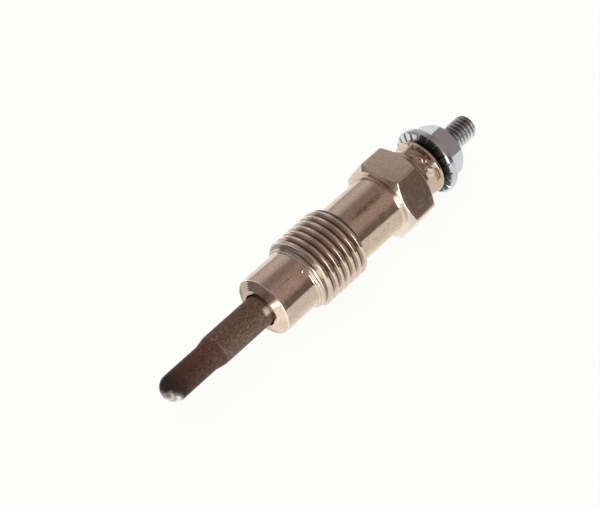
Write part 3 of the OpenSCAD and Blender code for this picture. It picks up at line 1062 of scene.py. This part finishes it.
def makeTerminalRod(s):
    bm = bmesh.new()
    front, rear = ends("terminal_rod")
    stud = makeStudFinish(s["zinc"], rear)
    even = evenAngles(s["steps"])
    crest = mounts["terminal_stud"]["dims"]["r_mm"]
    start = ends("flange_nut")[1] - s["sunkStart"]
    capStart = rear - s["endCap"]
    endRadius = crest - s["endChamfer"] - s["endCap"]
    body = roundProfile([
        (front, 0, 0), (front, s["rodRadius"], 0.15), (s["coneStart"], s["rodRadius"], 0.3),
        (s["coneEnd"], s["blankRadius"], 0.3), (start - 0.15, s["blankRadius"], 0),
        (start, s["startRadius"], 0)])
    addTurned(bm, body, even)
    addThread(bm, stud, s["steps"], start, capStart, s["pitch"], crest, (s["startRadius"], s["startCone"]),
              (endRadius, s["endChamfer"]))
    cap = roundProfile([
        (capStart, endRadius, 0), (rear, endRadius - s["endDrop"], s["endRound"]), (rear, 0, 0)])
    addTurned(bm, cap, even)
    finishMesh(bm, "terminalRod", stud, "terminal_rod")


makeTerminalRod(rodSetup)


# Insulating bush between shell and nut

bushSetup = {
    "steps": 144,
    "boreRadius": 1.775,
    "spigotRadius": 3.4,
    "collarRound": 0.22,
    "collarInset": 1.0,  # the shell's lip is rolled round the collar
    "phenolic": {
        "dark": (0.185, 0.125, 0.098),
        "light": (0.25, 0.175, 0.14),
        "speck": (0.34, 0.26, 0.22),
    },
}


def makePhenolic(look):
    material, tree, shader = newFinish("brownPhenolic", 0.0, 0.26, (0.22, 0.15, 0.12), Specular_IOR_Level=0.6)
    cloud, speck = useEffect(tree, "mottle", 0.8)[:2]
    tint = blendColours(between(cloud, 0.3, 0.7), look["dark"], look["light"])
    tint = blendColours(times(speck, 0.4), tint, look["speck"])
    feed(shader.inputs["Base Color"], tint)
    feed(shader.inputs["Roughness"], between(cloud, 0.3, 0.7, 0.2, 0.34))
    bumpFrom(shader, cloud, 0.006)
    return material


def makeBush(s):
    bm = bmesh.new()
    front, rear = ends("insulating_bush")
    shellEnd = ends("shell")[1]
    collar = reach("insulating_bush") - s["collarInset"]
    seam = (front, s["boreRadius"] + 0.4, 0)  # the path starts and ends on the front face
    path = roundProfile([
        seam, (front, s["spigotRadius"], 0.2),
        (shellEnd, s["spigotRadius"], 0), (shellEnd, collar, s["collarRound"]),
        (rear, collar, s["collarRound"]), (rear, s["boreRadius"], 0.1),
        (front, s["boreRadius"], 0.1), seam])
    addTurned(bm, path, evenAngles(s["steps"]))
    finishMesh(bm, "insulatingBush", makePhenolic(s["phenolic"]), "insulating_bush")


makeBush(bushSetup)


# Flange nut with a serrated underside

nutSetup = {
    "hexFlats": 8.0,
    "hexEdge": 0.2,
    "hexChamfer": 36.0,  # degrees
    "flatAt": 1.0,  # degrees
    "baseRadius": 3.2,
    "coneHeight": 0.7,
    "bevel": 0.3,
    "rimHeight": 0.75,
    "slopeHeight": 1.0,
    "slopeTopRadius": 3.8,
    "chamferRadius": 3.9,
    "teeth": 20,
    "toothSteps": 24,
    "toothRows": 40,
    "toothDepth": 0.2,
    "toothFlank": 0.8,  # groove height for each mm round the axis
    "toothExit": 0.05,
    "toothAt": 9.0,  # degrees, middle of a groove
    "boreRadius": 1.775,
    "boreSteps": 96,
    "countersink": 2.25,
    "zinc": {
        "dark": (0.63, 0.67, 0.69),
        "light": (0.73, 0.76, 0.775),
        "speck": (0.42, 0.42, 0.43),
        # painted shade on the serrated cone
        "coneShade": (0.035, 0.037, 0.033),
    },
}


def makeNutFinish(look, coneEnd):
    material, tree, shader = newFinish("brightZinc", 1.0, 0.2, (0.65, 0.70, 0.72))
    cloud, speck = useEffect(tree, "mottle", 1.2)[:2]
    scuff = useEffect(tree, "scuffs", 0.6)[0]
    # painted shade, almost black, covers the serrated cone and reaches further up on top, apart from a patch
    # on the far upper side
    x, y, z = spread(millimetres(tree))
    reachUp = between(z, 2.6, 4.2, 0.0, 0.24)
    coneShade = between(minus(x, reachUp), coneEnd + 0.04, coneEnd - 0.08)
    unshadedPatch = between(timesPlus(z, 0.42, y), 2.6, 3.3)
    coneShade = times(coneShade, minus(1.0, unshadedPatch))
    tint = blendColours(between(cloud, 0.3, 0.7), look["dark"], look["light"])
    tint = layOver(tint, [
        (times(speck, 0.3), look["speck"]), (times(coneShade, 0.93), look["coneShade"])])
    feed(shader.inputs["Base Color"], tint)
    rough = plus(between(cloud, 0.3, 0.7, 0.15, 0.26), times(coneShade, 0.2))
    feed(shader.inputs["Roughness"], plus(rough, times(scuff, 0.15)))
    bumpFrom(shader, minus(cloud, scuff), 0.003)
    return material


def makeNut(s):
    bm = bmesh.new()
    start, end = ends("flange_nut")
    zinc = makeNutFinish(s["zinc"], start + s["coneHeight"])
    flange = reach("flange_nut")
    rimStart = start + s["coneHeight"] + s["bevel"]
    rimEnd = rimStart + s["rimHeight"]
    grow(bm, serrationTree, "serratedCone", {
        "Start": start * mm, "Cone Height": s["coneHeight"] * mm, "Bevel": s["bevel"] * mm,
        "Base Radius": s["baseRadius"] * mm, "Rim Radius": flange * mm, "Exit": s["toothExit"] * mm,
        "Depth": s["toothDepth"] * mm, "Flank": s["toothFlank"], "First Angle": math.radians(s["toothAt"]),
        "Teeth": s["teeth"], "Steps Per Tooth": s["toothSteps"], "Rows": s["toothRows"], "Finish": zinc})
    loose = [v for v in bm.verts if any(e.is_boundary for e in v.link_edges)]
    parting = (s["baseRadius"] + flange) / 2 * mm
    footRing = [v for v in loose if v.co.yz.length < parting]
    rimRing = [v for v in loose if v.co.yz.length > parting]

    # rim, slope and hexagon
    flatAt = math.radians(s["flatAt"])
    fall = (flange - s["slopeTopRadius"]) / s["slopeHeight"]
    slope = math.tan(math.radians(s["hexChamfer"]))

    def nutPath(a):
        side = hexRadius(a, s["hexFlats"], flatAt, s["hexEdge"])
        return roundProfile([
            (rimStart + s["toothExit"], flange, 0), (rimEnd, flange, 0.2),
            (rimEnd + (flange - side) / fall, side, 0.12),
            (end - (side - s["chamferRadius"]) * slope, side, 0.12), (end, s["chamferRadius"], 0.08),
            (end, s["chamferRadius"] - 0.3, 0)])

    rimFoot, nutTop = addFaceted(bm, hexAngles(flatAt, 18, s["hexFlats"], s["hexEdge"]), nutPath)
    zipRings(bm, rimRing, rimFoot)

    # rear face, countersunk bore and bearing face
    bore = roundProfile([
        (end, s["countersink"] + 0.2, 0), (end, s["countersink"], 0.06),
        (end - (s["countersink"] - s["boreRadius"]), s["boreRadius"], 0.05),
        (start, s["boreRadius"], 0.1), (start, s["boreRadius"] + 0.4, 0)])
    topFace, footFace = addTurned(bm, bore, evenAngles(s["boreSteps"]))
    zipRings(bm, nutTop, topFace)
    zipRings(bm, footFace, footRing)
    finishMesh(bm, "flangeNut", zinc, "flange_nut")


makeNut(nutSetup)


# Hidden solids keep their shapes and get plain procedural finishes

def makeHiddenFinish(name, metallic, roughness, dark, light, patch, bump):
    material, tree, shader = newFinish(name, metallic, roughness, light)
    cloud = useEffect(tree, "mottle", patch)[0]
    feed(shader.inputs["Base Color"], blendColours(between(cloud, 0.3, 0.7), dark, light))
    feed(shader.inputs["Roughness"], between(cloud, 0.3, 0.7, roughness * 0.85, min(roughness * 1.15, 1)))
    bumpFrom(shader, cloud, bump)
    return material


# finish, metallic, roughness, darker and lighter colour, patch size and bump in mm
insideFinishes = {
    "heating_coil": ("resistanceWire", 1.0, 0.38, (0.44, 0.40, 0.36), (0.54, 0.50, 0.46), 0.5, 0.002),
    "control_coil": ("nickelWire", 1.0, 0.32, (0.60, 0.57, 0.52), (0.70, 0.67, 0.62), 0.5, 0.002),
    "insulating_powder": ("packedMagnesia", 0.0, 0.9, (0.84, 0.83, 0.78), (0.92, 0.91, 0.88), 0.4, 0.02),
    "tube_seal": ("sealRubber", 0.0, 0.7, (0.42, 0.13, 0.08), (0.53, 0.18, 0.12), 0.6, 0.006),
    "sealing_ring": ("ringRubber", 0.0, 0.6, (0.03, 0.03, 0.03), (0.05, 0.05, 0.05), 0.6, 0.006),
}
for node, recipe in insideFinishes.items():
    mesh = frame["nodes"][node].data
    mesh.materials.clear()
    mesh.materials.append(makeHiddenFinish(*recipe))
print("hidden solids finished")


# Floor, room and lamp

studio = {
    "white": (1.0, 1.0, 0.985, 1.0),
    "floorSize": 6.0,  # m
    "floorColour": (0.86, 0.86, 0.86, 1.0),
    "shadowShare": 0.06,  # how much of the floor's look is real light
    # the sheet mirrors less bright near the camera and brighter at the tip: from and to in m, level there
    "nearSheet": (-0.004, -0.01, 0.8),
    "tipSheet": (0.004, -0.008, 1.25),
    "sheetSlant": (-0.01, 0.04),  # across the plug
    "sheetEnds": (-0.115, -0.014),  # along the plug, there
    "sheetFront": -0.1,
    "sheetFade": 0.025,
    "beyondSheet": 0.07,
    # brightness of the room over the plug, from 0 at the near floor over the top to 1 at the far floor
    "roomLevels": [(0.0, 0.17), (0.1, 0.17), (0.19, 0.4), (0.3, 0.42), (0.44, 0.36), (0.56, 0.25),
                   (0.64, 0.28), (0.73, 0.53), (0.81, 0.62), (0.91, 0.56), (1.0, 0.48)],
    "nearTint": (1.0, 0.81, 0.765),
    "farTint": (1.0, 0.915, 0.96),
    "tintTurn": (0.6, 0.7),  # where the near tint gives way
    "tipWall": (0.1, -0.4, 0.62),  # from and to in the direction along the plug, level
    "studWall": (0.58, 0.8, 0.3),
    "windowSides": (-0.88, 0.14),  # of the direction along the plug
    "windowSoft": (0.2, 0.15),
    "windowTop": (0.13, 0.24),
    "windowColour": (0.93, 0.97, 1.0),
    "windowLevel": 2.7,
    "keyPlace": (-0.1, 0.32, 1.05),
    "keyAim": (0.015, 0.0, 0.0),
    "keySize": (0.42, 1.5),
    "keyColour": (1.0, 0.97, 0.93),
    "keyPower": 8.0,
}


def joinShaders(tree, output, share, first, second):
    mix = addNode(tree, "ShaderNodeMixShader")
    for socket, value in zip(mix.inputs, (share, first.outputs[0], second.outputs[0])):
        feed(socket, value)
    feed(addNode(tree, output).inputs[0], mix.outputs[0])


def makeFloor(s):
    low = cadBox[0].z
    half = s["floorSize"] / 2
    mesh = bpy.data.meshes.new("paperFloor")
    corners = [(-half, -half, low), (half, -half, low), (half, half, low), (-half, half, low)]
    mesh.from_pydata(corners, [], [(0, 1, 2, 3)])
    floor = newObject("paperFloor", mesh)
    material = bpy.data.materials.new("whitePaper")
    tree = emptyTree(material)
    paper = addNode(tree, "ShaderNodeBsdfDiffuse")
    paper.inputs["Color"].default_value = s["floorColour"]
    glow = addNode(tree, "ShaderNodeEmission")
    glow.inputs["Color"].default_value = s["white"]
    rays = addNode(tree, "ShaderNodeLightPath").outputs
    mirrored = calc("MAXIMUM", rays["Is Glossy Ray"], rays["Is Transmission Ray"])
    seen = calc("MAXIMUM", rays["Is Camera Ray"], mirrored)
    # metal sees the white sheet only as far as its edges, and the dim bench beyond them
    x, y, _ = spread(addNode(tree, "ShaderNodeTexCoord").outputs["Object"])
    edge = between(y, *s["sheetSlant"], *s["sheetEnds"])
    sheet = times(smooth(x, minus(edge, s["sheetFade"]), edge),
                  smooth(y, s["sheetFront"] - s["sheetFade"], s["sheetFront"]))
    bright = 1.0
    for place, (first, last, level) in ((y, s["nearSheet"]), (x, s["tipSheet"])):
        bright = smooth(place, first, last, bright, level)
    sheet = between(sheet, 0.0, 1.0, s["beyondSheet"], bright)
    feed(glow.inputs["Strength"], between(rays["Is Camera Ray"], 0.0, 1.0, sheet, 1.0))
    joinShaders(tree, "ShaderNodeOutputMaterial", times(seen, 1 - s["shadowShare"]), paper, glow)
    mesh.materials.append(material)


def makeRoom(s):
    world = bpy.data.worlds.new("studioRoom")
    bpy.context.scene.world = world
    tree = emptyTree(world)
    x, y, z = spread(addNode(tree, "ShaderNodeTexCoord").outputs["Generated"])
    over = calc("DIVIDE", calc("ARCTAN2", z, times(y, -1.0)), math.pi, clamp=True)
    ramp = addNode(tree, "ShaderNodeValToRGB")
    turnStart, turnEnd = s["tintTurn"]
    for i, (at, level) in enumerate(s["roomLevels"]):
        stop = ramp.color_ramp.elements[i] if i < 2 else ramp.color_ramp.elements.new(at)
        stop.position = at
        share = min(max((at - turnStart) / (turnEnd - turnStart), 0), 1)
        stop.color = (*(level * (n + (f - n) * share) for n, f in zip(s["nearTint"], s["farTint"])), 1)
    feed(ramp.inputs[0], over)
    # the walls beyond the tip and behind the stud are dimmer
    dim = 1.0
    for first, last, level in (s["tipWall"], s["studWall"]):
        dim = times(smooth(x, first, last, 1.0, level), dim)
    # a bright window low on the near side, towards the tip
    left, right = s["windowSides"]
    softLeft, softRight = s["windowSoft"]
    window = times(smooth(x, left - softLeft, left),
                   smooth(x, right, right + softRight, 1.0, 0.0),
                   smooth(over, *s["windowTop"], 1.0, 0.0))
    room = addNode(tree, "ShaderNodeBackground")
    feed(room.inputs["Color"], blendColours(window, ramp.outputs[0], s["windowColour"]))
    feed(room.inputs["Strength"], between(window, 0.0, 1.0, dim, s["windowLevel"]))
    plain = addNode(tree, "ShaderNodeBackground")
    plain.inputs["Color"].default_value = s["white"]
    toCamera = addNode(tree, "ShaderNodeLightPath").outputs["Is Camera Ray"]
    joinShaders(tree, "ShaderNodeOutputWorld", toCamera, room, plain)


def makeKeyLamp(s):
    lamp = bpy.data.lights.new("softKey", "AREA")
    lamp.shape = "RECTANGLE"
    lamp.size, lamp.size_y = s["keySize"]
    lamp.energy = s["keyPower"]
    lamp.color = s["keyColour"]
    holder = newObject("softKey", lamp)
    holder.visible_glossy = False  # lights the plug, but isn't mirrored in the metal
    holder.location = s["keyPlace"]
    holder.rotation_mode = "QUATERNION"
    holder.rotation_quaternion = (Vector(s["keyAim"]) - Vector(s["keyPlace"])).to_track_quat("-Z", "Y")


makeFloor(studio)
makeRoom(studio)
makeKeyLamp(studio)
print("studio set")
